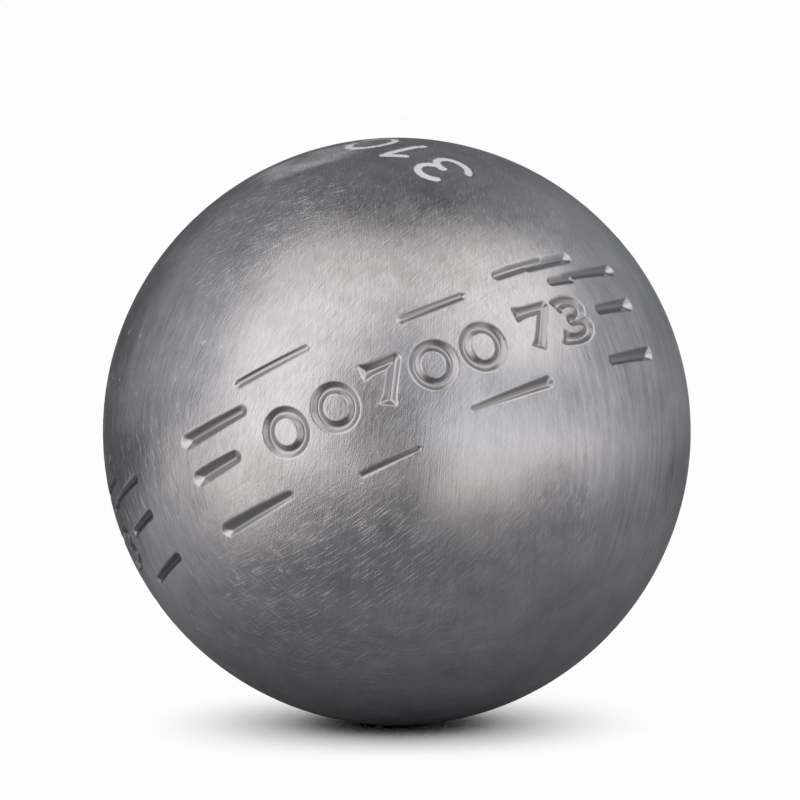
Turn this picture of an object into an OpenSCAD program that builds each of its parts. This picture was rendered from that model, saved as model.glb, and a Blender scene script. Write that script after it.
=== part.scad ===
// Steel petanque boule: two half shells joined by a full-depth weld round the equator,
// ground to a true ball and struck three times with the same group of V-shaped dashes.

/* [Ball] */
// Outside diameter of the finished ball
ball_d = 73; // [64:0.5:90]
// Thickness of the steel wall
wall_t = 6.4; // [4:0.1:10]

/* [Equator weld] */
// Gap between the edges of the two half shells, filled by the weld
root_gap = 1.2; // [0.6:0.1:2]
// Thickness of the square edge that is left below the bevel
root_face_t = 1.4; // [0.6:0.1:2.4]
// Angle between the two bevelled edges
bevel_angle = 60; // [40:1:80]
// How far the root bead stands proud of the wall inside the ball
root_bead_h = 0.8; // [0.4:0.1:1.6]
// How far the root bead laps over the inside of each half shell
root_bead_lap = 1; // [0.5:0.1:2]

/* [Stamped dashes] */
// Turn of the second strike from the first, round the weld's axis
second_strike = 132; // [120:1:140]
// Turn of the third strike from the first
third_strike = 240; // [225:1:245]
// Depth of the deepest dash
dash_depth = 0.8; // [0.3:0.05:1.2]
// Latitude round the weld's axis at which the die points straight at the middle of the ball
die_latitude = -2; // [-6:0.1:6]
// Angle between the two flanks of a dash
dash_flank_angle = 100; // [60:5:120]
// Slope of a dash's two ends, measured from the surface
dash_end_slope = 35; // [30:5:70]

/* [How the ball lies] */
// Lean of the weld's axis from upright
lean = 28.6; // [0:0.1:90]
// Heading of the lean round the upright axis
heading = 146; // [0:1:359]
// Turn of the first strike round the weld's axis
stamp_turn = 122.7; // [0:0.1:359.9]

/* [Hidden] */
$fn = 180;

ball_r = ball_d / 2;
bore_r = ball_r - wall_t;

// How far a cutting shape runs past the surface that it cuts
overrun = 1;

// The dashes of one group: first longitude, last longitude and latitude round the weld's axis
dash_places = [
    [-41, -24.8, 5.9],
    [-41.6, -29.8, -1.4],
    [-41.1, -23.5, -12.9],
    [-24.9, -8.9, 10.7],
    [9, 22.4, 8.4],
    [30.5, 49.6, 10.5],
    [41.3, 61.1, 6.5],
    [50, 61.6, -1.1],
    [48.7, 63.6, -11.2],
    [-9.7, 2.7, -15.4],
    [14.9, 32.4, -12.5],
];

// How deep each dash is struck at its first and its last end, against the deepest
dash_depth_shares = [
    [1, 0.88],
    [1, 0.95],
    [0.94, 0.72],
    [0.66, 0.5],
    [0.66, 0.58],
    [0.75, 0.68],
    [0.6, 0.9],
    [0.78, 1],
    [0.76, 0.95],
    [0.42, 0.42],
    [0.48, 0.88],
];

// The weld's own cross-section between the bevels, from inside the root bead to past the surface
module weld_groove() {
    inner_x = bore_r - root_bead_h / 4;
    bevel_x = bore_r + root_face_t;
    outer_x = ball_r + overrun;
    half_gap = root_gap / 2;
    half_mouth = half_gap + (outer_x - bevel_x) * tan(bevel_angle / 2);
    polygon([
        [inner_x, -half_gap],
        [bevel_x, -half_gap],
        [outer_x, -half_mouth],
        [outer_x, half_mouth],
        [bevel_x, half_gap],
        [inner_x, half_gap],
    ]);
}

// The low rounded bead that the weld leaves on the inside, shaped as part of a circle
module root_bead() {
    half_w = root_gap / 2 + root_bead_lap;
    bead_r = (root_bead_h * root_bead_h + half_w * half_w) / (2 * root_bead_h);
    intersection() {
        circle(r = bore_r);
        translate([bore_r - root_bead_h + bead_r, 0]) circle(r = bead_r);
    }
}

// Cross-section of a half shell, above the equator, with its bevelled edge
module half_shell_section() {
    difference() {
        intersection() {
            circle(r = ball_r);
            square(ball_r + overrun);
        }
        circle(r = bore_r);
        weld_groove();
    }
}

// Cross-section of the weld, ground to the ball's own curve on the outside
module weld_section() {
    intersection() {
        circle(r = ball_r);
        weld_groove();
    }
    root_bead();
}

// A corner of the block that limits a dash: a point on its sloping end, so far above the surface
function end_corner(parallel_r, half_span, above) =
    let (out = parallel_r + above, along = above / tan(dash_end_slope))
    [out * cos(half_span) - along * sin(half_span), out * sin(half_span) + along * cos(half_span)];

function mirrored(point) = [point[0], -point[1]];

// The block that gives a dash its length and its two sloping ends
module dash_block(parallel_r, half_span) {
    bulge = parallel_r * (1 - cos(half_span));
    high = end_corner(parallel_r, half_span, bulge + 2 * overrun);
    low = end_corner(parallel_r, half_span, -2 * dash_depth);
    polygon([low, high, mirrored(high), mirrored(low)]);
}

// A V-shaped ring round the weld's axis. One die strikes the whole group, so every V points the
// same way, and the ones above and below the die's own latitude have one steep and one flat flank
module dash_ring(latitude, depth, half_span) {
    half_mouth = (depth + overrun) * tan(dash_flank_angle / 2);
    rotate_extrude(angle = 4 * half_span, start = -2 * half_span)
        translate([ball_r * cos(latitude), ball_r * sin(latitude)])
            rotate(die_latitude)
                polygon([[-depth, 0], [overrun, -half_mouth], [overrun, half_mouth]]);
}

// One struck dash: the ring, turned a little about the dash's middle so that one end goes
// deeper than the other, and limited by the block
module dash(place, depth_share) {
    half_span = (place[1] - place[0]) / 2;
    latitude = place[2];
    parallel_r = ball_r * cos(latitude);
    mid_depth = dash_depth * (depth_share[0] + depth_share[1]) / 2;
    half_drop = dash_depth * (depth_share[1] - depth_share[0]) / 2;
    dive = asin(half_drop / (parallel_r * sin(half_span)));
    block_h = 4 * (dash_depth + overrun) * tan(dash_flank_angle / 2);
    rotate(place[0] + half_span)
        intersection() {
            translate([parallel_r, 0])
                rotate(dive)
                    translate([-parallel_r, 0])
                        dash_ring(latitude, mid_depth, half_span);
            translate([0, 0, ball_r * sin(latitude)])
                linear_extrude(height = block_h, center = true)
                    dash_block(parallel_r, half_span);
        }
}

// All the dashes: the same group, struck three times round the ball
module stamped_dashes() {
    for (strike = [0, second_strike, third_strike], i = [0 : len(dash_places) - 1])
        rotate(strike) dash(dash_places[i], dash_depth_shares[i]);
}

// Turns a piece from the weld's own axis to the way the ball lies
module as_it_lies() {
    rotate([0, lean, heading]) rotate(stamp_turn) children();
}

module upper_half_shell() {
    color("#a9aaab")
        as_it_lies()
            difference() {
                rotate_extrude() half_shell_section();
                stamped_dashes();
            }
}

module lower_half_shell() {
    color("#8f9092")
        as_it_lies()
            difference() {
                mirror([0, 0, 1]) rotate_extrude() half_shell_section();
                stamped_dashes();
            }
}

module weld_bead() {
    color("#c4c5c6")
        as_it_lies()
            difference() {
                rotate_extrude() weld_section();
                stamped_dashes();
            }
}

upper_half_shell();
lower_half_shell();
weld_bead();
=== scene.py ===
"""A satin steel petanque boule with stamped dashes and plain numbers, lying on a pale floor."""
import math

import bpy
import numpy as np
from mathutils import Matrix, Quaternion, Vector


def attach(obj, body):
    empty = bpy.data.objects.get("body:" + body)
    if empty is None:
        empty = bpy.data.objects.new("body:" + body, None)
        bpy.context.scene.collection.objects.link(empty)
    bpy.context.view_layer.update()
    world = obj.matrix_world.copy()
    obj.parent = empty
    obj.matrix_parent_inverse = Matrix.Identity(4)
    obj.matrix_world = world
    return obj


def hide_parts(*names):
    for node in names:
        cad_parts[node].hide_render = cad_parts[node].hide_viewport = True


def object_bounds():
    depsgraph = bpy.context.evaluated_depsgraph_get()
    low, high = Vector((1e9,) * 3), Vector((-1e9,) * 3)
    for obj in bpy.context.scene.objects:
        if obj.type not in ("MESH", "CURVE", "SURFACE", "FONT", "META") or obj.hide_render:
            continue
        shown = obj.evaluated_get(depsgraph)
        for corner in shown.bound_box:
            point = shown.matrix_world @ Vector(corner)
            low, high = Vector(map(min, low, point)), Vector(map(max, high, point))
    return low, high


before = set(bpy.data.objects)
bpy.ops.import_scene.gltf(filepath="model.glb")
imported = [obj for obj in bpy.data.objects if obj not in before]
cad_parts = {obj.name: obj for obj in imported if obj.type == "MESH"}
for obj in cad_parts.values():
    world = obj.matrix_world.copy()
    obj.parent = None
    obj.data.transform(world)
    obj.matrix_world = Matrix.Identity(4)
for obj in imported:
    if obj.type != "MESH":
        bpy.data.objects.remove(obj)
cad_low, cad_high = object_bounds()

# Lengths in this file are in metres, angles in degrees
MM = 0.001

# The ball as the solids have it
BALL_R = min(*cad_high, *-cad_low)
WALL = 6.4 * MM
BORE_R = BALL_R - WALL
ROOT_HALF_GAP = 0.6 * MM
ROOT_FACE = 1.4 * MM
ROOT_BEAD_LAP = 1.0 * MM
ROOT_BEAD_H = 0.8 * MM
BEVEL_SLOPE = 30.0
LEAN, HEADING, STAMP_TURN = 28.6, 146.0, 122.7

# The photograph's view: degrees that the camera stands above level, and its distance in ball radii
VIEW_RISE, VIEW_DISTANCE = 5, 18.3

# Turn of each strike from the first, and how wide its marks are and how bright their painted flank shade
# and highlight are against the first: the last one was lighter, and its flanks get more painted shade
STRIKES = [(0, 1.0, 1.0), (132, 1.0, 1.0), (240, 0.72, 0.5)]

# The stamps: half the width of the widest mouth, how much a dash bulges in its middle where its last
# end is the narrower one, slopes of the flanks and ends from the surface, the rounding of the valley,
# how far an end swells out against the half width there in a stroke of no width and how much less in
# the widest, the rounding, height and width of the lips, and the depths at which a mark is wholly
# struck and its end wholly cut off
WIDEST = 0.953 * MM
DASH_BULGE = 0.1
FLANK_SLOPE = 43.0
END_SLOPE = 29.0
VALLEY_R = 0.26 * MM
END_SWELL, END_SWELL_LESS = 1.2, 0.6
LIP_R = 0.05 * MM
LIP_RISE = 0.012 * MM
LIP_WIDTH = 0.2 * MM
LIP_DEPTH = 0.12 * MM
FACET_EDGE = 0.05 * MM

# Dashes round the weld's axis: longitude and latitude of the first end, the same for the last end,
# the width at each end as a share of the widest, and how much steeper the upper flank is than the
# flanks' slope, in degrees, because one die struck the whole group in one direction. Two dashes have
# a step where the die slipped, so they are two strokes each, and the last row hardly struck. Then how
# bright the upper and the lower flank are painted, as shares of the bare steel: painted shade on the
# upper flanks, which face down, and on the lower flanks painted shade on some dashes and painted
# highlight on others; then the slope of the ends where it isn't the usual one
DASHES = [
    (-40.7, 5.95, -25.4, 5.55, 1.00, 0.79, 0, (0.50, 0.97)),
    (-41.3, -1.4, -30.4, -1.55, 1.00, 0.89, -3, (0.66, 1.05)),
    (-40.8, -12.45, -23.9, -12.85, 0.95, 0.57, -18, (0.66, 1.20)),
    (-24.8, 10.5, -9.0, 10.65, 0.59, 0.48, 13, (0.14, 0.97)),
    (9.1, 8.15, 22.2, 8.35, 0.61, 0.55, 12, (0.30, 0.90)),
    (30.6, 10.15, 42.2, 10.65, 0.70, 0.64, 10, (0.45, 0.95), 55),
    (37.8, 10.15, 49.2, 10.2, 0.74, 0.76, 10, (0.68, 0.71)),
    (41.5, 6.0, 46.9, 5.85, 0.60, 0.74, 5, (0.60, 0.60), 62),
    (45.5, 6.35, 60.7, 6.5, 0.52, 0.92, 5, (0.60, 0.60)),
    (50.2, -1.3, 61.2, -1.0, 0.78, 1.00, 3, (0.74, 0.52)),
    (48.9, -11.35, 62.8, -10.95, 0.76, 0.97, -10, (0.64, 0.56)),
    (-9.6, -15.65, 2.6, -15.5, 0.42, 0.40, -19, (0.58, 0.90)),
    (15.0, -12.5, 32.2, -12.2, 0.47, 0.88, -17, (0.52, 0.85)),
    (-36.8, -6.85, -30.4, -6.65, 0.10, 0.16, 0, (0.80, 0.80)),
]

# The big number in each group: digit, longitude of its middle
BIG_NUMBER = [("0", -19.2), ("0", -8.6), ("7", 1.6), ("0", 11.4), ("0", 21.6), ("7", 33.6), ("3", 42.6)]
BIG_LATITUDE = -2.15
BIG_SIZE = (4.45 * MM, 4.8 * MM)
BIG_HALF_MOUTH = 0.78 * MM
BIG_FLARE = 0.3 * MM
BIG_FLARE_LENGTH = 0.9 * MM
# Painted shade and highlight on the digits' upper and lower flanks, as shares of the bare steel
BIG_PAINTED_FLANK_LIGHT = (0.6, 0.95)

# The small number near the top: it reads up the ball, so it is turned a quarter. Each digit stands so
# many degrees from the number's middle, and the whole reaches so many degrees each way
SMALL_NUMBER = [("3", -9.0), ("1", 1.9), ("0", 11.4)]
SMALL_MIDDLE = (39.6, 48.7)
SMALL_REACH = 22
SMALL_SIZE = (4.6 * MM, 6.6 * MM)
SMALL_HALF_MOUTH = 0.5 * MM
SMALL_SLOPE = 66.0
SMALL_DEPTH = 0.12 * MM

# How close the rows and columns of the pieces stand. The last row before a pole, the latitudes that
# the dashes and the small number reach, and half the turn of the small number; then rows and columns
# of each piece, and how many times as close they stand along the dashes, in the small number, at the
# ends of the dashes above the weld and below, and in the big number
LAST_ROW = 89
DASHES_TOP, DASHES_FOOT = 12.5, 17
SMALL_ROWS, SMALL_HALF_TURN = (33.5, 63), 10
UPPER_GRID, LOWER_GRID, BEAD_GRID = (118, 660), (80, 900), (56, 1300)
DASH_ROW_GAIN, SMALL_ROW_GAIN, SMALL_COLUMN_GAIN = 9.0, 8.0, 9.0
UPPER_END_GAIN, LOWER_END_GAIN, NUMBER_GAIN = 6.0, 5.0, 4.0


def turning(axis, degrees):
    """The matrix that turns a point by so many degrees about Y or Z."""
    c, s = math.cos(math.radians(degrees)), math.sin(math.radians(degrees))
    if axis == "Y":
        return np.array([[c, 0, s], [0, 1, 0], [-s, 0, c]])
    return np.array([[c, -s, 0], [s, c, 0], [0, 0, 1]])


AS_IT_LIES = turning("Z", HEADING) @ turning("Y", LEAN) @ turning("Z", STAMP_TURN)


def arc(middle, radii, first, last, count=14):
    """Points on an ellipse's arc: the middle plus each radius times the cosine or sine of the angle."""
    angle = np.radians(np.linspace(first, last, count))
    return np.c_[middle[0] + radii[0] * np.cos(angle), middle[1] + radii[1] * np.sin(angle)]


# Each digit as strokes in a box one wide and one high, and whether the stroke is a closed ring
DIGITS = {
    "0": [(arc((0.5, 0.5), (0.5, 0.5), 0, 360, count=33), True)],
    "1": [(np.array([(0.55, 0.0), (0.55, 1.0)]), False), (np.array([(0.1, 0.72), (0.55, 1.0)]), False)],
    "3": [(np.vstack([arc((0.46, 0.74), (0.44, 0.26), 150, -90),
                      arc((0.46, 0.25), (0.52, 0.25), 90, -155)]), False)],
    "7": [(np.array([(0.0, 1.0), (1.0, 1.0), (0.36, 0.0)]), False)],
}


def slope(degrees):
    """How far a surface of so many degrees falls over a length of one."""
    return math.tan(math.radians(degrees))


def stroke_cut(x, y, path, half_mouths, round_ends=False, swell=0.0, bulge=0.0, flare=0.0, lean=0.0,
               flank=FLANK_SLOPE, end=FLANK_SLOPE):
    """How deep a stroke cuts at each point, below zero outside it, how much its end takes off, and
    its side: 1 on a flank that faces the bottom of the stroke's grid and -1 on one that faces its top.

    The mouth widens by the bulge times four times the shares of the path before and behind. For
    every straight piece of the path a wall falls from each edge of the mouth, the upper one
    steeper than the flank by the lean and the lower one flatter. The cut is the mean of the two
    less the root of the sum of the squares of half their difference and the valley's rounding. At
    an end that isn't round it is no more than the distance from the end times the end's slope,
    where the end swells out in the middle by a share of the half mouth. The deepest piece counts.
    """
    rounding = VALLEY_R * slope(flank)
    steps = np.diff(path, axis=0)
    lengths = np.hypot(steps[:, 0], steps[:, 1])
    stops = np.cumsum(lengths)
    total = stops[-1]
    deepest = np.full(x.shape, -np.inf)
    taken, side = np.zeros(x.shape), np.zeros(x.shape)
    for i, (start, step, length, stop) in enumerate(zip(path, steps, lengths, stops)):
        ux, uy = step / length
        along = (x - start[0]) * ux + (y - start[1]) * uy
        aside = (x - start[0]) * uy - (y - start[1]) * ux
        open_first = i == 0 and not round_ends
        open_last = i == len(steps) - 1 and not round_ends
        short = np.zeros_like(along) if open_first else np.maximum(-along, 0)
        over = np.zeros_like(along) if open_last else np.maximum(along - length, 0)
        run = stop - length + along
        share = np.clip(run / total, 0, 1)
        mouth = np.interp(run, (0, total), half_mouths) * (1 + bulge * 4 * share * (1 - share))
        if flare and not round_ends:
            to_end = np.clip(np.minimum(run, total - run), 0, None)
            mouth = mouth + flare * np.exp(-(to_end / BIG_FLARE_LENGTH) ** 2)
        away = np.copysign(np.hypot(aside, short + over), aside)
        upper, lower = (mouth + away) * slope(flank + lean), (mouth - away) * slope(flank - lean)
        full = (upper + lower) / 2 - np.hypot((upper - lower) / 2, rounding)
        full += np.hypot(mouth * slope(flank), rounding) - mouth * slope(flank)
        cut = full
        if not round_ends:
            swollen = swell * mouth * (1 - (aside / mouth) ** 2)
            cut = np.minimum(full, (np.minimum(run, total - run) + swollen) * slope(end))
        taken = np.where(cut > deepest, full - cut, taken)
        side = np.where(cut > deepest, ux * np.clip((lower - upper) / rounding, -1, 1), side)
        deepest = np.maximum(deepest, cut)
    return deepest, taken, side


def lipped(cut):
    """Depth with a rounded lip: half the sum of the cut and the root of its square plus the
    lip's radius squared, less a low bell-shaped rise along the edge."""
    return (cut + np.sqrt(cut**2 + LIP_R**2)) / 2 - LIP_RISE * np.exp(-((cut / LIP_WIDTH) ** 2))


def offset(lon, middle):
    """Longitude from a middle, between -180 and 180 degrees."""
    return (lon - middle + 180) % 360 - 180


def dash_marks():
    """Every dash of one group: longitude and latitude of its middle, half its length, how it is
    cut, and how bright its two flanks are painted, as painted shade and highlight."""
    marks = []
    for first, first_lat, last, last_lat, first_share, last_share, lean, painted_flank_light, *own_slope in DASHES:
        level = (first_lat + last_lat) / 2
        half = math.radians(last - first) / 2 * BALL_R * math.cos(math.radians(level))
        climb = math.radians(last_lat - first_lat) / 2 * BALL_R
        cut = dict(path=np.array([(-half, -climb), (half, climb)]),
                   half_mouths=[WIDEST * first_share, WIDEST * last_share],
                   swell=END_SWELL - END_SWELL_LESS * (first_share + last_share) / 2,
                   bulge=DASH_BULGE * (first_share > last_share),
                   lean=lean, end=own_slope[0] if own_slope else END_SLOPE)
        marks.append(dict(middle=(first + last) / 2, level=level, half=half, cut=cut, painted_flank_light=painted_flank_light))
    return marks


def number_marks():
    """Every stroke of one group's big number, given in the same way as the dashes."""
    marks = []
    for digit, middle in BIG_NUMBER:
        for path, closed in DIGITS[digit]:
            cut = dict(path=(path - 0.5) * BIG_SIZE, half_mouths=[BIG_HALF_MOUTH, BIG_HALF_MOUTH],
                       round_ends=closed, flare=BIG_FLARE)
            half = BIG_SIZE[0] / 2
            marks.append(dict(middle=middle, level=BIG_LATITUDE, half=half, cut=cut, painted_flank_light=BIG_PAINTED_FLANK_LIGHT))
    return marks


def struck(lon, lat, marks):
    """Depth of the given stamped marks below the ball's surface, on a grid of longitudes and
    latitudes, the same in each group, and how bright the steel is painted there, as painted shade and
    highlight on the flanks: 1 outside the marks and on their ends, and between the shares of the two
    flanks in the valley."""
    depth = np.zeros((len(lat), len(lon)))
    bright = np.ones_like(depth)
    margin, spare_turn = 1.6 * MM, 0.5
    for mark in marks:
        level, stroke = mark["level"], mark["cut"]
        reach = math.degrees((mark["half"] + margin) / BALL_R) + spare_turn
        height = abs(stroke["path"][:, 1]).max() + max(stroke["half_mouths"])
        tall = math.degrees((height + margin) / BALL_R)
        rows = np.flatnonzero(abs(lat - level) < tall)
        if not len(rows):
            continue
        upper, lower = mark["painted_flank_light"]
        for turn, share, flank_light_share in STRIKES:
            away = offset(lon, mark["middle"] + turn)
            columns = np.flatnonzero(abs(away) < reach)
            x = np.radians(away[columns])[None, :] * BALL_R * np.cos(np.radians(lat[rows]))[:, None]
            y = np.radians(lat[rows] - level)[:, None] * BALL_R + 0 * x
            mouths = [share * half_mouth for half_mouth in stroke["half_mouths"]]
            cut, taken, side = stroke_cut(x, y, **(stroke | {"half_mouths": mouths}))
            patch = np.ix_(rows, columns)
            # The flanks get painted shade and painted highlight, none on the ends that are cut off
            flank = np.clip(cut / LIP_DEPTH, 0, 1) * (1 - np.clip(taken / FACET_EDGE, 0, 1))
            left = flank_light_share * ((upper + lower) / 2 + side * (upper - lower) / 2)
            bright[patch] = np.where(cut > depth[patch], 1 + flank * (left - 1), bright[patch])
            depth[patch] = np.maximum(depth[patch], lipped(cut)) + np.minimum(lipped(cut), 0)
    return depth, bright


def engraved(lon, lat):
    """Depth of the small number, which a round cutter mills with a flat bottom and round ends."""
    middle_lon, middle_lat = SMALL_MIDDLE
    rows = np.flatnonzero(abs(lat - middle_lat) < SMALL_REACH)
    depth = np.zeros((len(lat), len(lon)))
    if not len(rows):
        return depth
    a = np.radians(offset(lon, middle_lon))[None, :]
    b = np.radians(lat[rows])[:, None]
    m = math.radians(middle_lat)
    east = np.cos(b) * np.sin(a)
    north = math.cos(m) * np.sin(b) - math.sin(m) * np.cos(b) * np.cos(a)
    facing = math.sin(m) * np.sin(b) + math.cos(m) * np.cos(b) * np.cos(a)
    away, tiny = np.hypot(east, north), 1e-9
    spread_out = BALL_R * np.arctan2(away, facing) / np.maximum(away, tiny)
    x, y = north * spread_out, -east * spread_out
    cut = np.full(x.shape, -np.inf)
    for digit, degrees in SMALL_NUMBER:
        for path, _ in DIGITS[digit]:
            placed = (path - 0.5) * SMALL_SIZE + (math.radians(degrees) * BALL_R, 0)
            mouths = [SMALL_HALF_MOUTH, SMALL_HALF_MOUTH]
            cut = np.maximum(cut, stroke_cut(x, y, placed, mouths, round_ends=True, flank=SMALL_SLOPE)[0])
    depth[rows] = np.clip(cut, 0, SMALL_DEPTH)
    return depth


def crowded(first, last, count, busy):
    """count + 1 places from first to last, closer together inside the busy ranges: equal shares
    of the running total of how busy each place is."""
    trials = 40
    fine = np.linspace(first, last, trials * count)
    crowd = np.ones_like(fine)
    for low, high, gain in busy:
        crowd = np.where((fine > low) & (fine < high), np.maximum(crowd, gain), crowd)
    total = np.concatenate([[0], np.cumsum((crowd[1:] + crowd[:-1]) / 2)])
    return np.interp(np.linspace(0, total[-1], count + 1), total, fine)


def busy_longitudes(low, high, number_gain, end_gain, extra=()):
    """Ranges of longitude where marks between two latitudes begin, end or turn, in all groups."""
    half_dash, outside, inside, half_digit = 1.6, 1.4, 2.0, 4.8
    busy = list(extra)
    for first, lat, last, *_ in DASHES:
        if low - half_dash < lat < high + half_dash:
            busy += [(first - outside, first + inside, end_gain), (last - inside, last + outside, end_gain)]
    if number_gain:
        busy.append((BIG_NUMBER[0][1] - half_digit, BIG_NUMBER[-1][1] + half_digit, number_gain))
    ranges = []
    for turn, *_ in STRIKES:
        ranges += [(a + turn + way, b + turn + way, gain) for way in (-360, 0, 360) for a, b, gain in busy]
    return ranges


def rim_latitude():
    """Latitude at which the bevel, a straight line in the section, meets the ball's circle."""
    climb = slope(BEVEL_SLOPE)
    level = ROOT_HALF_GAP - climb * (BORE_R + ROOT_FACE)
    spread = 1 + climb**2
    flat = (math.sqrt((climb * level) ** 2 - spread * (level**2 - BALL_R**2)) - climb * level) / spread
    return math.degrees(math.asin((level + climb * flat) / BALL_R))


def wall_section():
    """Radius and height of the joint's wall, from the foot of the bevel to the bore, above the middle."""
    bore_flat = math.sqrt(BORE_R**2 - ROOT_HALF_GAP**2)
    return [(BORE_R + ROOT_FACE, ROOT_HALF_GAP), (bore_flat, ROOT_HALF_GAP)]


def on_sphere(radius, degrees):
    """Radius and height of points on a sphere at the given latitudes."""
    lat = np.radians(np.asarray(degrees))
    return np.c_[radius * np.cos(lat), radius * np.sin(lat)]


def triangles(depth, rows, ring):
    """Triangles of a grid that runs round, two to a cell. Each cell is split along the diagonal
    whose ends differ less in depth, so that the edge of a mark follows the triangles. With ring
    the last row joins the first; otherwise both ends close on a pole, the last two points."""
    columns = depth.shape[1]
    index = np.arange(rows * columns).reshape(rows, columns)
    here, below = (index, np.roll(index, -1, 0)) if ring else (index[:-1], index[1:])
    a, b, c, d = here, np.roll(here, -1, 1), np.roll(below, -1, 1), below
    level = np.zeros(rows * columns)
    level[: depth.size] = depth.ravel()
    slash = (abs(level[a] - level[c]) <= abs(level[b] - level[d]))[..., None]
    faces = [
        np.where(slash, np.stack([a, b, c], -1), np.stack([a, b, d], -1)).reshape(-1, 3),
        np.where(slash, np.stack([a, c, d], -1), np.stack([b, c, d], -1)).reshape(-1, 3),
    ]
    if not ring:
        first, last = index[0], index[-1]
        pole = np.full(columns, rows * columns)
        faces.append(np.stack([pole, np.roll(first, -1), first], -1))
        faces.append(np.stack([pole + 1, last, np.roll(last, -1)], -1))
    return np.vstack(faces)


def ball_piece(name, lon, outer_lat, inner, poles, ring):
    """One of the ball's three pieces, as a closed surface round the weld's axis.

    Outer rows lie at the ball's radius less the depth of the marks; inner rows are given as
    radius and height. Each point is its radius times the cosine and sine of the longitude, with
    its height, turned to the way the ball lies.
    """
    number = engraved(lon, outer_lat)
    dashes, dash_flank_light = struck(lon, outer_lat, dash_marks())
    digits, digit_flank_light = struck(lon, outer_lat, number_marks())
    stamps = np.where(abs(dashes) > abs(digits), dashes, digits)
    # Painted flank shade of the marks, below zero where a flank gets a painted highlight
    painted_flank_light = 1 - np.where(abs(dashes) > abs(digits), dash_flank_light, digit_flank_light)
    depth = number + stamps
    lat = np.radians(outer_lat)[:, None]
    inner = np.asarray(inner)
    flat = np.vstack([(BALL_R - depth) * np.cos(lat), np.repeat(inner[:, :1], len(lon), 1)])
    high = np.vstack([(BALL_R - depth) * np.sin(lat), np.repeat(inner[:, 1:], len(lon), 1)])
    angle = np.radians(lon)
    points = np.stack([flat * np.cos(angle), flat * np.sin(angle), high], -1).reshape(-1, 3)
    pole_points = np.array([(0, 0, height) for height in poles]).reshape(-1, 3)
    points = np.vstack([points, pole_points]) @ AS_IT_LIES.T
    faces = triangles(depth, len(flat), ring)
    corners = points[faces]
    if np.einsum("ij,ij->i", corners[:, 0], np.cross(corners[:, 1], corners[:, 2])).sum() < 0:
        faces = faces[:, ::-1]

    mesh = bpy.data.meshes.new(name)
    mesh.vertices.add(len(points))
    mesh.vertices.foreach_set("co", points.astype(np.float32).ravel())
    mesh.loops.add(faces.size)
    mesh.loops.foreach_set("vertex_index", faces.astype(np.int32).ravel())
    mesh.polygons.add(len(faces))
    mesh.polygons.foreach_set("loop_start", np.arange(0, faces.size, 3, dtype=np.int32))
    mesh.update(calc_edges=True)
    mesh.shade_smooth()

    # The rims and the corners of the joint stay crisp
    row = np.full(len(points), -1)
    row[: flat.size] = np.repeat(np.arange(len(flat)), len(lon))
    inside = len(outer_lat)
    crisp_rows = [inside - 1, inside, inside + 1]
    if ring:
        crisp_rows += [0, *range(len(flat) - 3, len(flat))]
    crisp = np.isin(row, crisp_rows)
    ends = np.empty(len(mesh.edges) * 2, np.int32)
    mesh.edges.foreach_get("vertices", ends)
    ends = ends.reshape(-1, 2)
    sharp = mesh.attributes.new("sharp_edge", "BOOLEAN", "EDGE")
    sharp.data.foreach_set("value", crisp[ends[:, 0]] & (row[ends[:, 0]] == row[ends[:, 1]]))

    masks = {"milled": np.clip(number / SMALL_DEPTH, 0, 1), "struck": np.clip(stamps / LIP_DEPTH, 0, 1),
             "painted_flank_light": painted_flank_light}
    for label, amount in masks.items():
        mask = np.zeros(len(points), np.float32)
        mask[: amount.size] = amount.ravel()
        mesh.attributes.new(label, "FLOAT", "POINT").data.foreach_set("value", mask)

    piece = bpy.data.objects.new(name, mesh)
    bpy.context.scene.collection.objects.link(piece)
    return piece


def half_shell(name, side, lon, outer_lat):
    """A half shell: the outside from pole to rim, down the bevel and the root face, and the bore
    back up to its pole. side is 1 above the weld and -1 below it."""
    bore_start = math.degrees(math.asin(ROOT_HALF_GAP / BORE_R))
    bore_end, bore_rows = 88, 12
    bore = on_sphere(BORE_R, np.linspace(bore_start, bore_end, bore_rows)[1:])
    inner = np.vstack([wall_section(), bore]) * (1, side)
    return ball_piece(name, lon, outer_lat * side, inner, (BALL_R * side, BORE_R * side), False)


def weld_ring(name, lon, outer_lat):
    """The weld: its ground outside, down one bevel and root face, across the root bead, which is
    part of a circle, and back up the other side."""
    half_w = ROOT_HALF_GAP + ROOT_BEAD_LAP
    bead_r = (ROOT_BEAD_H**2 + half_w**2) / (2 * ROOT_BEAD_H)
    middle = BORE_R - ROOT_BEAD_H + bead_r
    sweep = math.asin(half_w / bead_r)
    bead_rows = 9
    turn = np.linspace(-sweep, sweep, bead_rows)
    bead = np.c_[middle - bead_r * np.cos(turn), bead_r * np.sin(turn)]
    wall = np.array(wall_section())
    inner = np.vstack([wall * (1, -1), bead, wall[::-1]])
    return ball_piece(name, lon, outer_lat, inner, (), True)


EVERY_WAY = (0.0, 360.0)
RIM = rim_latitude()


def columns(low, high, count, number_gain, end_gain, extra=()):
    """Longitudes of a piece's columns, without the last, which is the first again."""
    return crowded(*EVERY_WAY, count, busy_longitudes(low, high, number_gain, end_gain, extra))[:-1]


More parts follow.
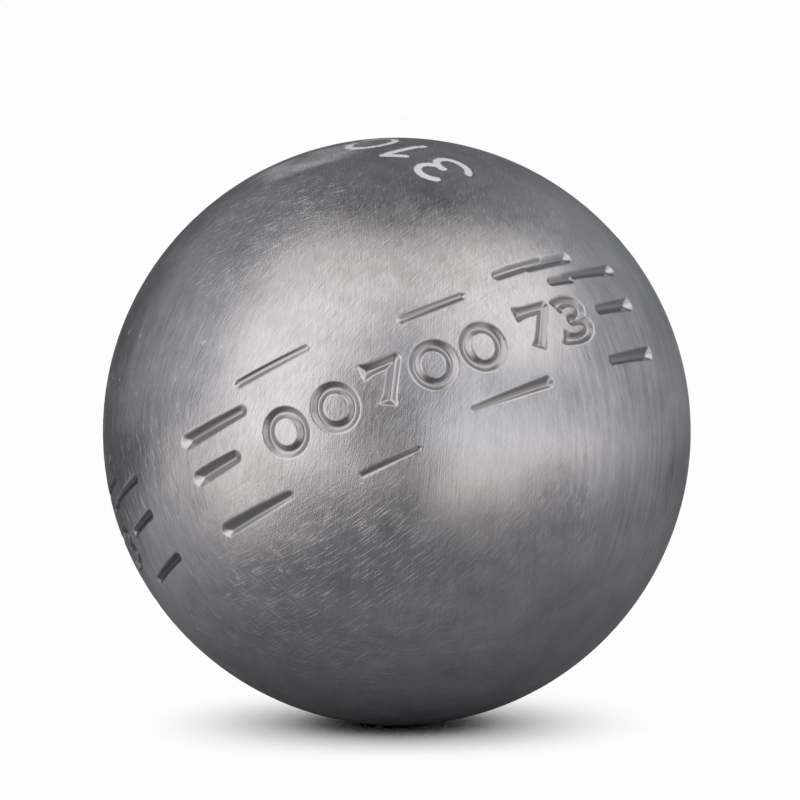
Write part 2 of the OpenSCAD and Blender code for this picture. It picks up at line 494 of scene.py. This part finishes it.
small_lon = (SMALL_MIDDLE[0] - SMALL_HALF_TURN, SMALL_MIDDLE[0] + SMALL_HALF_TURN, SMALL_COLUMN_GAIN)
upper_busy = [(RIM, DASHES_TOP, DASH_ROW_GAIN), (*SMALL_ROWS, SMALL_ROW_GAIN)]
upper_lat = crowded(LAST_ROW, RIM, UPPER_GRID[0], upper_busy)
lower_lat = crowded(LAST_ROW, RIM, LOWER_GRID[0], [(RIM, DASHES_FOOT, DASH_ROW_GAIN)])
bead_lat = crowded(RIM, -RIM, BEAD_GRID[0], [])
upper_lon = columns(RIM, DASHES_TOP, UPPER_GRID[1], 0, UPPER_END_GAIN, [small_lon])
lower_lon = columns(-DASHES_FOOT, -RIM, LOWER_GRID[1], NUMBER_GAIN, LOWER_END_GAIN)
bead_lon = columns(-RIM, RIM, BEAD_GRID[1], NUMBER_GAIN, LOWER_END_GAIN)

upper = half_shell("upper_half_shell_skin", 1, upper_lon, upper_lat)
lower = half_shell("lower_half_shell_skin", -1, lower_lon, lower_lat)
bead = weld_ring("weld_bead_skin", bead_lon, bead_lat)
for piece, node in ((upper, "upper_half_shell"), (lower, "lower_half_shell"), (bead, "weld_bead")):
    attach(piece, "root")
    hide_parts(node)


def unit(azimuth, elevation):
    """Direction from the ball: azimuth 0 is towards the viewer and grows to the viewer's right."""
    a, e = math.radians(azimuth), math.radians(elevation)
    return Vector((math.sin(a) * math.cos(e), -math.cos(a) * math.cos(e), math.sin(e)))


def make_camera():
    """The photograph's view, with the ball at its place and size in a picture 800 pixels wide."""
    data = bpy.data.cameras.new("camera")
    camera = bpy.data.objects.new("camera", data)
    bpy.context.scene.collection.objects.link(camera)
    distance = VIEW_DISTANCE * BALL_R
    half_image, ball_image_r = 400, 294
    image_distance = ball_image_r / math.tan(math.asin(BALL_R / distance))
    data.sensor_width = 36.0
    data.lens = data.sensor_width / 2 * image_distance / half_image
    camera.location = unit(0, VIEW_RISE) * distance
    data.clip_start, data.clip_end = 0.01, 50
    # The ball's middle lies a little left of and below the middle of the picture
    left, below = 3.2, 31.6
    camera.rotation_mode = "QUATERNION"
    aim = Vector((left / image_distance, 0, below / image_distance)) - camera.location.normalized()
    camera.rotation_quaternion = aim.to_track_quat("-Z", "Y")
    bpy.context.scene.camera = camera


def add(tree, kind, settings=None, **values):
    """A new node with its settings and the values of its inputs. An input that is given a socket is
    linked, and i0, i1 and so on name an input by its number."""
    node = tree.nodes.new(kind)
    for key, value in (settings or {}).items():
        setattr(node, key, value)
    for key, value in values.items():
        socket = node.inputs[int(key[1:]) if key[0] == "i" and key[1:].isdigit() else key.replace("_", " ")]
        if isinstance(value, bpy.types.NodeSocket):
            tree.links.new(value, socket)
        else:
            socket.default_value = value
    return node


def calc(tree, operation, first, second=0.0):
    """The result of one sum on sockets or numbers."""
    return add(tree, "ShaderNodeMath", {"operation": operation}, i0=first, i1=second).outputs[0]


def between(tree, value, low, high, first=0.0, last=1.0):
    """An eased change from first to last while the value goes from low to high."""
    node = add(tree, "ShaderNodeMapRange", {"interpolation_type": "SMOOTHSTEP"}, Value=value, From_Min=low,
               From_Max=high, To_Min=first, To_Max=last)
    return node.outputs["Result"]


def new_material(name):
    """A material with an empty tree and its output node."""
    material = bpy.data.materials.new(name)
    material.use_nodes = True
    material.node_tree.nodes.clear()
    return material, material.node_tree, material.node_tree.nodes.new("ShaderNodeOutputMaterial")


def softbox(name, azimuth, elevation, distance, size, radiance, roll):
    """A rectangular lamp that faces the ball, as bright as a surface of the given radiance."""
    data = bpy.data.lights.new(name, "AREA")
    data.shape = "RECTANGLE"
    data.size, data.size_y = size
    data.energy = math.pi * size[0] * size[1] * radiance
    lamp = bpy.data.objects.new(name, data)
    lamp.location = unit(azimuth, elevation) * distance
    lamp.rotation_mode = "QUATERNION"
    facing = lamp.location.to_track_quat("Z", "Y")
    lamp.rotation_quaternion = facing @ Quaternion((0, 0, 1), math.radians(roll))
    bpy.context.scene.collection.objects.link(lamp)


def sheet_mesh(name, x, y, z):
    """An open surface from three arrays of coordinates on a grid: the floor, the card or the tent."""
    rows, count = x.shape
    index = np.arange(rows * count).reshape(rows, count)
    faces = np.stack([index[:-1, :-1], index[:-1, 1:], index[1:, 1:], index[1:, :-1]], -1).reshape(-1, 4)
    mesh = bpy.data.meshes.new(name)
    mesh.from_pydata(np.stack([x, y, z], -1).reshape(-1, 3).tolist(), [], faces.tolist())
    mesh.shade_smooth()
    piece = bpy.data.objects.new(name, mesh)
    bpy.context.scene.collection.objects.link(piece)
    return piece


def make_floor():
    """A pale floor. Seen directly or in the steel it is white, and darker where the ball keeps the
    light off: how open the sky is there, less a little, to a power."""
    x, y = np.meshgrid(np.linspace(*FLOOR_X, FLOOR_POINTS), np.linspace(*FLOOR_Y, FLOOR_POINTS))
    floor = sheet_mesh("floor", x, y, np.full(x.shape, -BALL_R))
    material, tree, output = new_material("pale_floor")
    shade = add(tree, "ShaderNodeAmbientOcclusion", {"samples": SHADOW_SAMPLES}, Distance=SHADOW_REACH)
    opening = add(tree, "ShaderNodeMapRange", Value=shade.outputs["AO"], From_Min=SHADOW_DARK,
                  From_Max=SHADOW_OPEN)
    strength = calc(tree, "POWER", opening.outputs["Result"], SHADOW_POWER)
    glow = add(tree, "ShaderNodeEmission", Color=STUDIO_WHITE, Strength=strength)
    plain = add(tree, "ShaderNodeBsdfDiffuse", Color=FLOOR_PALE)
    path = add(tree, "ShaderNodeLightPath").outputs
    seen = calc(tree, "MAXIMUM", path["Is Camera Ray"], path["Is Glossy Ray"])
    seen = calc(tree, "MAXIMUM", seen, path["Is Transmission Ray"])
    mixed = add(tree, "ShaderNodeMixShader", i0=seen, i1=plain.outputs[0], i2=glow.outputs[0])
    tree.links.new(mixed.outputs[0], output.inputs["Surface"])
    floor.data.materials.append(material)


def eased(value):
    """0 below 0, 1 above 1, and three times the square less twice the cube between."""
    value = np.clip(value, 0, 1)
    return value**2 * (3 - 2 * value)


def make_grey_card():
    """A grey card round the ball that only the steel sees, as on a photographer's table: it keeps
    the pale floor out of the ball's lower half. In front it is short, but for a narrow strip
    towards the camera; it grows towards the right, and at the back it is wide."""
    angle, share = np.meshgrid(np.linspace(-180, 180, CARD_GRID[0]), np.linspace(0, 1, CARD_GRID[1]))
    front = eased((CARD_FRONT_HALF - abs(angle)) / CARD_FRONT_EASE + 0.5)
    strip = eased((CARD_STRIP_HALF - abs(angle)) / CARD_STRIP_EASE + 0.5)
    edge = np.interp(angle, CARD_TURNS, CARD_EDGES)
    reach = CARD_SIDE_R + (edge - CARD_SIDE_R) * front
    radius = share * (reach + (CARD_STRIP_R - reach) * strip)
    x, y = radius * np.sin(np.radians(angle)), -radius * np.cos(np.radians(angle))
    card = sheet_mesh("grey_card", x, y, np.full(x.shape, -BALL_R + CARD_LIFT))
    card.visible_camera = card.visible_shadow = card.visible_diffuse = False
    material, tree, output = new_material("grey_card")
    place = add(tree, "ShaderNodeTexCoord")
    parts = add(tree, "ShaderNodeSeparateXYZ", Vector=place.outputs["Object"]).outputs
    tone = between(tree, parts["Y"], *CARD_BACK, CARD_GREY, CARD_GREY * CARD_BACK_SHARE)
    left = between(tree, parts["Y"], *CARD_LEFT_BACK, CARD_LEFT_SHARE, 1)
    left = between(tree, parts["X"], *CARD_LEFT, 1, left)
    far_left = between(tree, parts["X"], *CARD_FAR_LEFT, 1, CARD_FAR_LEFT_SHARE)
    right = between(tree, parts["X"], *CARD_RIGHT, 1, CARD_RIGHT_SHARE)
    far_right = between(tree, parts["X"], *CARD_FAR_RIGHT, 1, CARD_FAR_RIGHT_SHARE)
    for change in (left, far_left, right, far_right):
        tone = calc(tree, "MULTIPLY", tone, change)
    colour = add(tree, "ShaderNodeVectorMath", {"operation": "SCALE"}, i0=CARD_COLOUR, Scale=tone)
    plain = add(tree, "ShaderNodeBsdfDiffuse", Color=colour.outputs[0])
    tree.links.new(plain.outputs[0], output.inputs["Surface"])
    card.data.materials.append(material)


def make_tent():
    """The walls of the studio, seen by the steel and not by the camera: brighter towards the
    viewer's side and most at the right, where a window stands, and darker behind the ball,
    overhead, and where the camera stands. They come down to the floor."""
    foot = -math.asin(BALL_R / TENT_R)
    turn = np.radians(np.linspace(0, 360, TENT_GRID[0]))
    turn, rise = np.meshgrid(turn, np.linspace(foot, math.pi / 2, TENT_GRID[1]))
    tent = sheet_mesh("tent", TENT_R * np.cos(rise) * np.sin(turn), -TENT_R * np.cos(rise) * np.cos(turn),
                      TENT_R * np.sin(rise))
    tent.visible_camera = False
    material, tree, output = new_material("tent_wall")
    place = add(tree, "ShaderNodeTexCoord")
    way = add(tree, "ShaderNodeVectorMath", {"operation": "NORMALIZE"}, i0=place.outputs["Object"])
    parts = add(tree, "ShaderNodeSeparateXYZ", Vector=way.outputs[0]).outputs
    aside, behind, above = parts["X"], parts["Y"], parts["Z"]
    back = between(tree, aside, -1, 1, TENT_BACK - TENT_TILT, TENT_BACK + TENT_TILT)
    high = between(tree, aside, *TENT_HIGH_ASIDE, TENT_HIGH, TENT_HIGH_RIGHT)
    back = between(tree, above, *TENT_HIGH_ABOVE, back, high)
    wall = between(tree, behind, *TENT_BACK_TO_SIDE, back, TENT_SIDE)
    before = between(tree, behind, *TENT_BEFORE)
    low = calc(tree, "MULTIPLY", before, between(tree, above, *TENT_LOW))
    gain = calc(tree, "ADD", between(tree, aside, *TENT_RIGHT, 0, TENT_RIGHT_GAIN),
                between(tree, aside, *TENT_LEFT, 0, TENT_LEFT_GAIN))
    wall = calc(tree, "ADD", wall, calc(tree, "MULTIPLY", low, gain))
    pane = calc(tree, "MULTIPLY", between(tree, aside, *WINDOW_LEFT), between(tree, aside, *WINDOW_RIGHT))
    pane = calc(tree, "MULTIPLY", pane, between(tree, above, *WINDOW_TOP, 0, WINDOW_GAIN))
    wall = calc(tree, "ADD", wall, calc(tree, "MULTIPLY", before, pane))
    shape = calc(tree, "MULTIPLY", between(tree, aside, *CAMERA_LEFT), between(tree, aside, *CAMERA_RIGHT))
    shape = calc(tree, "MULTIPLY", shape, between(tree, above, *CAMERA_TOP))
    dark = calc(tree, "MULTIPLY", before, shape)
    wall = calc(tree, "MULTIPLY", wall, between(tree, dark, 0, 1, 1, CAMERA_SHARE))
    level = between(tree, above, *TENT_OVER, wall, TENT_TOP)
    glow = add(tree, "ShaderNodeEmission", Color=TENT_COLOUR, Strength=level)
    tree.links.new(glow.outputs[0], output.inputs["Surface"])
    tent.data.materials.append(material)


def make_world():
    """White, as far as the camera and the steel see it past the tent."""
    world = bpy.data.worlds.new("studio")
    bpy.context.scene.world = world
    world.use_nodes = True
    world.node_tree.nodes["Background"].inputs["Color"].default_value = STUDIO_WHITE


# The floor: how far it reaches each way and its points each way, the white that is seen, and the tone
# that light which isn't seen meets. Then the ball's shadow: how far it reaches, how many rays look for
# the sky, how open the sky is where the floor is black and where it is white, and the power between
FLOOR_X, FLOOR_Y, FLOOR_POINTS = (-8, 8), (-8, 14), 3
STUDIO_WHITE = (0.985, 0.985, 0.985, 1)
FLOOR_PALE = (0.85, 0.85, 0.85, 1)
SHADOW_REACH, SHADOW_SAMPLES = 80 * MM, 16
SHADOW_DARK, SHADOW_OPEN, SHADOW_POWER = 0.1, 0.53, 0.62

# The card: its points round and outwards, how high it lies above the floor, half the angles of its
# front and of its strip and how softly they begin, the reach of the front's edge at several turns, and
# the reach of the strip and of the rest
CARD_GRID, CARD_LIFT = (361, 7), 0.5 * MM
CARD_FRONT_HALF, CARD_STRIP_HALF = 92.5, 11.6
CARD_FRONT_EASE, CARD_STRIP_EASE = 6, 4
CARD_TURNS = (-95, -50, -25, 15, 40, 95)
CARD_EDGES = (0.205, 0.066, 0.19, 0.09, 0.128, 0.43)
CARD_STRIP_R, CARD_SIDE_R = 0.82, 1.9
# Its grey, and where that changes and to what share: at the back, at the left, far left, at the right
# and far right. The left's share ends at the back
CARD_GREY, CARD_COLOUR = 0.315, (0.985, 1, 1.03)
CARD_BACK, CARD_BACK_SHARE = (0, 0.13), 0.485
CARD_LEFT, CARD_LEFT_BACK, CARD_LEFT_SHARE = (-0.02, -0.07), (0.018, 0.045), 2.1
CARD_FAR_LEFT, CARD_FAR_LEFT_SHARE = (-0.07, -0.12), 1.2
CARD_RIGHT, CARD_RIGHT_SHARE = (0.03, 0.09), 1.44
CARD_FAR_RIGHT, CARD_FAR_RIGHT_SHARE = (0.12, 0.35), 2.9

# The tent: its radius and its points round and up, and the brightness of its back and how much that
# rises to the right, of its side, of its top, and of the back higher up at the left and at the right
TENT_R, TENT_GRID = 2.6, (49, 17)
TENT_BACK, TENT_TILT, TENT_SIDE, TENT_TOP = 0.13, 0.12, 0.408, 0.123
TENT_HIGH, TENT_HIGH_RIGHT = 0.152, 0.3
# What is added low at the right and left and in the window, and what the camera's shape leaves
TENT_RIGHT_GAIN, TENT_LEFT_GAIN, WINDOW_GAIN, CAMERA_SHARE = 0.5, 0.15, 0.48, 0.02
TENT_COLOUR = (0.93, 1, 1.1, 1)
# Where these change, as parts of the direction from the ball: to the right, away and up
TENT_HIGH_ASIDE, TENT_HIGH_ABOVE, TENT_BACK_TO_SIDE = (0.15, 0.47), (0.1, 0.42), (0.865, 0.48)
TENT_BEFORE, TENT_LOW, TENT_OVER = (0.1, -0.3), (0.32, 0.1), (0.48, 1)
TENT_RIGHT, TENT_LEFT = (0.24, 0.4), (-0.25, -0.5)
WINDOW_LEFT, WINDOW_RIGHT, WINDOW_TOP = (0.1, 0.18), (0.67, 0.52), (0.69, 0.49)
CAMERA_LEFT, CAMERA_RIGHT, CAMERA_TOP = (-0.47, -0.23), (0.28, 0.08), (0.62, 0.32)


make_camera()
softbox("left_softbox", azimuth=-46.2, elevation=39.8, distance=1.0, size=(1.025, 1.725), radiance=0.876,
        roll=-3.7)
softbox("right_softbox", azimuth=62, elevation=50.2, distance=1.0, size=(0.93, 0.93), radiance=0.91,
        roll=-36)
make_floor()
make_grey_card()
make_tent()
make_world()


def node_group(name, inputs, outputs):
    """A new node group with its sockets: label and first value of each input, label of each output."""
    tree = bpy.data.node_groups.new(name, "ShaderNodeTree")
    for label, value in inputs:
        kind = "NodeSocketVector" if isinstance(value, tuple) else "NodeSocketFloat"
        tree.interface.new_socket(label, in_out="INPUT", socket_type=kind).default_value = value
    for label, kind in outputs:
        tree.interface.new_socket(label, in_out="OUTPUT", socket_type=kind)
    return tree, tree.nodes.new("NodeGroupInput").outputs, tree.nodes.new("NodeGroupOutput").inputs


# The middle of what a noise gives, and from the least height of a bright scratch to the brightest's
NOISE_MIDDLE, PEAK_RISE = 0.5, 0.16


def make_hatch():
    """Fine lines of grinding and play that run round an axis: noise drawn out along arc length round
    the turned Z axis and fine across it, as a height about 0, and as a mask of its highest lines."""
    inputs = [("Place", (0, 0, 0)), ("Turn", (0, 0, 0)), ("Length", 6 * MM), ("Width", 0.2 * MM),
              ("Bend", 0.0), ("Peak", 0.6)]
    outputs = [("Height", "NodeSocketFloat"), ("Peaks", "NodeSocketFloat")]
    tree, inlet, outlet = node_group("hatch", inputs, outputs)
    turned = add(tree, "ShaderNodeVectorRotate", {"rotation_type": "EULER_XYZ"}, Vector=inlet["Place"],
                 Rotation=inlet["Turn"])
    parts = add(tree, "ShaderNodeSeparateXYZ", Vector=turned.outputs[0])
    radius = add(tree, "ShaderNodeVectorMath", {"operation": "LENGTH"}, i0=inlet["Place"]).outputs["Value"]
    round_it = calc(tree, "ARCTAN2", parts.outputs["Y"], parts.outputs["X"])
    up = calc(tree, "ARCSINE", calc(tree, "DIVIDE", parts.outputs["Z"], radius))
    along = calc(tree, "DIVIDE", calc(tree, "MULTIPLY", round_it, radius), inlet["Length"])
    rise = calc(tree, "ADD", calc(tree, "MULTIPLY", up, radius), inlet["Bend"])
    across = calc(tree, "DIVIDE", rise, inlet["Width"])
    steps = add(tree, "ShaderNodeCombineXYZ", X=along, Y=across)
    drawn = add(tree, "ShaderNodeTexNoise", {"noise_dimensions": "2D"}, Vector=steps.outputs[0], Scale=1,
                Detail=1.5, Roughness=0.6).outputs["Fac"]
    tree.links.new(calc(tree, "SUBTRACT", drawn, NOISE_MIDDLE), outlet["Height"])
    brightest = calc(tree, "ADD", inlet["Peak"], PEAK_RISE)
    tree.links.new(between(tree, drawn, inlet["Peak"], brightest), outlet["Peaks"])
    return tree


def make_patch():
    """A soft round patch of the ball about a direction from its middle."""
    inputs = [("Place", (0, 0, 0)), ("Middle", (0, 0, 1)), ("Outer", 0.0), ("Inner", 1.0)]
    tree, inlet, outlet = node_group("patch", inputs, [("Mask", "NodeSocketFloat")])
    way = add(tree, "ShaderNodeVectorMath", {"operation": "NORMALIZE"}, i0=inlet["Place"])
    centre = add(tree, "ShaderNodeVectorMath", {"operation": "NORMALIZE"}, i0=inlet["Middle"])
    near = add(tree, "ShaderNodeVectorMath", {"operation": "DOT_PRODUCT"}, i0=way.outputs[0],
               i1=centre.outputs[0]).outputs["Value"]
    tree.links.new(between(tree, near, inlet["Outer"], inlet["Inner"]), outlet["Mask"])
    return tree


hatch = make_hatch()
patch = make_patch()


def seen_at(across, down, side=1):
    """Direction from the ball's middle to the point that the camera sees at so many ball radii to
    the right of the middle and below it, or with side -1 to the point behind that one."""
    towards = side * math.sqrt(max(1 - across**2 - down**2, 0))
    rise = math.radians(VIEW_RISE)
    depth = -towards * math.cos(rise) - down * math.sin(rise)
    height = towards * math.sin(rise) - down * math.cos(rise)
    return (across, depth, height)


def round_axis(place, slant):
    """The turn that makes circles round the Z axis pass through a point in the camera's view, there
    so many degrees up from level to the right."""
    point = Vector(seen_at(*place))
    sight = unit(0, VIEW_RISE)
    level = Vector((1, 0, 0))
    upward = sight.cross(level).normalized()
    line = level * math.cos(math.radians(slant)) + upward * math.sin(math.radians(slant))
    line = (line - point * line.dot(point)).normalized()
    axis = point.cross(line)
    return tuple(axis.rotation_difference(Vector((0, 0, 1))).to_euler("XYZ"))


# Sets of fine lines: the place in the camera's view that they are laid out for, or with -1 the place
# behind it, their slant there, length and width in millimetres, the least height of a bright scratch,
# how far from the place the set fades and where it is full, in degrees, the share of it elsewhere, its
# weight as fine lines and its weight as bright scratches
LINES = [
    ((0.1, 0.1), 86, 6, 0.14, 0.8, (50, 20), 0.3, 0.85, 0.0),
    ((-0.35, -0.4), 60, 2.4, 0.14, 0.62, (55, 25), 0.22, 1.3, 0.35),
    ((0.05, -0.78), 87, 1.9, 0.16, 0.62, (42, 20), 0.1, 1.2, 0.4),
    ((0.9, -0.05), 97, 14, 0.7, 0.8, (40, 18), 0.0, 1.3, 0.0),
    ((-0.9, 0.0), 84, 9, 0.5, 0.64, (36, 16), 0.0, 1.1, 0.3),
    ((-0.45, -0.71), 9, 2.2, 0.19, 0.61, (24, 11), 0.0, 0.6, 0.9),
    ((-0.2, 0.5), 40, 3.2, 0.15, 0.6, (34, 14), 0.0, 0.9, 0.9),
    ((0.4, 0.45), 50, 2.6, 0.14, 0.62, (32, 12), 0.0, 0.8, 0.6),
    ((-0.5, 0.64), 162, 2.6, 0.16, 0.61, (20, 9), 0.0, 0.7, 0.8),
    ((0.75, -0.3), 116, 3, 0.15, 0.63, (50, 20), 0.3, 0.8, 0.4),
    ((-0.7, 0.38), 124, 3.6, 0.16, 0.62, (36, 18), 0.15, 0.8, 0.9),
    ((0.05, 0.9), 178, 4.5, 0.18, 0.62, (38, 14), 0.1, 0.8, 0.8),
    ((0.0, 0.0, -1), 82, 5, 0.14, 0.62, (86, 55), 0.0, 1.0, 0.5),
    ((-0.3, -0.3, -1), 24, 3, 0.15, 0.6, (62, 30), 0.0, 0.9, 0.9),
    ((0.35, 0.35, -1), 136, 3, 0.16, 0.6, (58, 28), 0.0, 0.8, 0.9),
]


def steel(name):
    """Belt-ground steel with fine lines in several directions, cloudy tone, bright scratches from
    play and a few nicks. The marks have none of these, and the milled number is pale and dull."""
    material, tree, output = new_material(name)
    place = add(tree, "ShaderNodeTexCoord").outputs["Object"]
    struck_mask = add(tree, "ShaderNodeAttribute", {"attribute_name": "struck"}).outputs["Fac"]
    # Painted shade and highlight on the marks' flanks
    painted_flank_light = add(tree, "ShaderNodeAttribute", {"attribute_name": "painted_flank_light"}).outputs["Fac"]
    milled_mask = add(tree, "ShaderNodeAttribute", {"attribute_name": "milled"}).outputs["Fac"]
    skin = calc(tree, "SUBTRACT", 1.0, calc(tree, "MAXIMUM", struck_mask, milled_mask))
    drift = add(tree, "ShaderNodeTexNoise", Vector=place, Scale=DRIFT_SCALE, Detail=1).outputs["Fac"]
    bend = calc(tree, "MULTIPLY", calc(tree, "SUBTRACT", drift, NOISE_MIDDLE), LINE_WAVER)

    def on_patch(value, middle, outer, inner, rest=0.0):
        """A value kept on one patch, and only a share of it elsewhere."""
        mask = add(tree, "ShaderNodeGroup", {"node_tree": patch}, Place=place, Middle=seen_at(*middle),
                   Outer=math.cos(math.radians(outer)), Inner=math.cos(math.radians(inner))).outputs[0]
        return calc(tree, "MULTIPLY", value, between(tree, mask, 0, 1, rest, 1.0))

    ground, worn = 0.0, 0.0
    for middle, slant, length, width, peak, (outer, inner), rest, line_weight, scratch_weight in LINES:
        turn = round_axis(middle, slant)
        lines = add(tree, "ShaderNodeGroup", {"node_tree": hatch}, Place=place, Turn=turn,
                    Length=length * MM, Width=width * MM, Bend=bend, Peak=peak)
        here = on_patch(1.0, middle, outer, inner, rest)
        fine = calc(tree, "MULTIPLY", lines.outputs[0], calc(tree, "MULTIPLY", here, line_weight))
        ground = calc(tree, "ADD", ground, fine)
        if scratch_weight:
            bright = calc(tree, "MULTIPLY", lines.outputs[1], calc(tree, "MULTIPLY", here, scratch_weight))
            worn = calc(tree, "MAXIMUM", worn, bright)
    ground = calc(tree, "MULTIPLY", ground, skin)

    # Nicks: small round bright spots, most of them at the left
    spots = add(tree, "ShaderNodeTexNoise", Vector=place, Scale=NICK_SCALE, Detail=0).outputs["Fac"]
    nicks = on_patch(between(tree, spots, *NICK_LEVELS), NICK_PLACE, *NICK_REACH, NICK_REST)
    worn = calc(tree, "MULTIPLY", calc(tree, "MAXIMUM", worn, nicks), skin)

    clouds = add(tree, "ShaderNodeTexNoise", Vector=place, Scale=CLOUD_SCALE, Detail=4,
                 Roughness=0.65).outputs["Fac"]
    cloudy = calc(tree, "MULTIPLY", calc(tree, "SUBTRACT", clouds, NOISE_MIDDLE), skin)

    # A band behind the small number, as a ring round the direction that the camera sees the ball from, so
    # that it follows the ball's outline there: rubbed steel that is rougher, and a painted highlight in its
    # tone, crisp and lightest at its near edge, and fading out at its far one
    way = add(tree, "ShaderNodeVectorMath", {"operation": "NORMALIZE"}, i0=place).outputs[0]
    facing = add(tree, "ShaderNodeVectorMath", {"operation": "DOT_PRODUCT"}, i0=way,
                 i1=tuple(unit(0, VIEW_RISE))).outputs["Value"]
    facing = calc(tree, "ADD", facing, calc(tree, "MULTIPLY", cloudy, RUB_SHEEN_WAVER))
    rubbed_and_sheen = on_patch(between(tree, facing, *RUB_SHEEN_NEAR), RUB_SHEEN_PLACE, *RUB_SHEEN_REACH)
    for share in (between(tree, facing, *RUB_SHEEN_FAR, RUB_SHEEN_FAR_SHARE, 1),
                  between(tree, facing, *RUB_SHEEN_RISE, RUB_SHEEN_RISE_SHARE, 1),
                  between(tree, clouds, *RUB_SHEEN_CLOUDS, RUB_SHEEN_CLOUD_SHARE, 1), skin):
        rubbed_and_sheen = calc(tree, "MULTIPLY", rubbed_and_sheen, share)

    # Tone of the bare steel or the milled number, times the painted shade and highlight on the marks'
    # flanks plus small shares of all these
    tone = calc(tree, "SUBTRACT", 1, painted_flank_light)
    for amount, share in ((ground, LINE_TONE), (cloudy, CLOUD_TONE), (worn, SCRATCH_TONE),
                          (rubbed_and_sheen, PAINTED_HIGHLIGHT_TONE)):
        tone = calc(tree, "ADD", tone, calc(tree, "MULTIPLY", amount, share))
    metal = add(tree, "ShaderNodeMix", {"data_type": "RGBA"}, i0=milled_mask, i6=STEEL_COLOUR,
                i7=MILLED_COLOUR)
    grey = add(tree, "ShaderNodeCombineColor", Red=tone, Green=tone, Blue=tone)
    colour = add(tree, "ShaderNodeMix", {"data_type": "RGBA", "blend_type": "MULTIPLY"}, i0=1.0,
                 i6=metal.outputs[2], i7=grey.outputs[0])

    rough = GROUND_ROUGHNESS
    for amount, share in ((cloudy, CLOUD_ROUGHENING), (worn, SCRATCH_ROUGHENING),
                          (rubbed_and_sheen, RUBBED_ROUGHENING)):
        rough = calc(tree, "ADD", rough, calc(tree, "MULTIPLY", amount, share))
    rough = between(tree, struck_mask, 0, 1, rough, STRUCK_ROUGHNESS)
    rough = between(tree, milled_mask, 0, 1, rough, MILLED_ROUGHNESS)

    height = calc(tree, "SUBTRACT", ground, worn)
    relief = add(tree, "ShaderNodeBump", Strength=1.0, Distance=LINE_DEPTH, Height=height)
    surface = add(tree, "ShaderNodeBsdfPrincipled", Base_Color=colour.outputs[2], Roughness=rough,
                  Metallic=between(tree, milled_mask, 0, 1, 1.0, MILLED_METAL), Normal=relief.outputs[0])
    tree.links.new(surface.outputs[0], output.inputs["Surface"])
    return material


# How far the fine lines waver, how often, and how deep they are
LINE_WAVER, DRIFT_SCALE, LINE_DEPTH = 0.55 * MM, 90, 0.018 * MM
# Nicks: how fine, from which level of the noise, and where
NICK_SCALE, NICK_LEVELS = 900, (0.76, 0.86)
NICK_PLACE, NICK_REACH, NICK_REST = (-0.85, 0.25), (55, 20), 0.12
# How fine the clouds are
CLOUD_SCALE = 190
# The rubbed band with its painted highlight: its place, where it fades out and is full, how far its edges
# waver, its near edge, its far edge and what is left there, its rise towards the near edge, and the clouds
# in it
RUB_SHEEN_PLACE, RUB_SHEEN_REACH, RUB_SHEEN_WAVER = (-0.3, -0.93), (15, 6), 0.06
RUB_SHEEN_NEAR = (0.395, 0.365)
RUB_SHEEN_FAR, RUB_SHEEN_FAR_SHARE = (0.15, 0.22), 0.1
RUB_SHEEN_RISE, RUB_SHEEN_RISE_SHARE = (0.25, 0.36), 0.65
RUB_SHEEN_CLOUDS, RUB_SHEEN_CLOUD_SHARE = (0.2, 0.7), 0.6
# How much each changes the tone and the roughness; the band's change of tone is a painted highlight
LINE_TONE, CLOUD_TONE, SCRATCH_TONE, PAINTED_HIGHLIGHT_TONE = 0.42, 0.6, 0.25, 0.55
CLOUD_ROUGHENING, SCRATCH_ROUGHENING, RUBBED_ROUGHENING = 0.2, 0.3, 0.25
# The bare steel, the struck marks and the milled number
STEEL_COLOUR = (0.594, 0.556, 0.547, 1)
MILLED_COLOUR = (0.97, 0.94, 0.93, 1)
GROUND_ROUGHNESS = 0.312
STRUCK_ROUGHNESS = 0.32
MILLED_ROUGHNESS = 0.5
MILLED_METAL = 0.1

ground_shell_steel = steel("ground_shell_steel")
upper.data.materials.append(ground_shell_steel)
lower.data.materials.append(ground_shell_steel)
bead.data.materials.append(steel("ground_weld_steel"))

scene = bpy.context.scene
scene.view_settings.view_transform = "Standard"
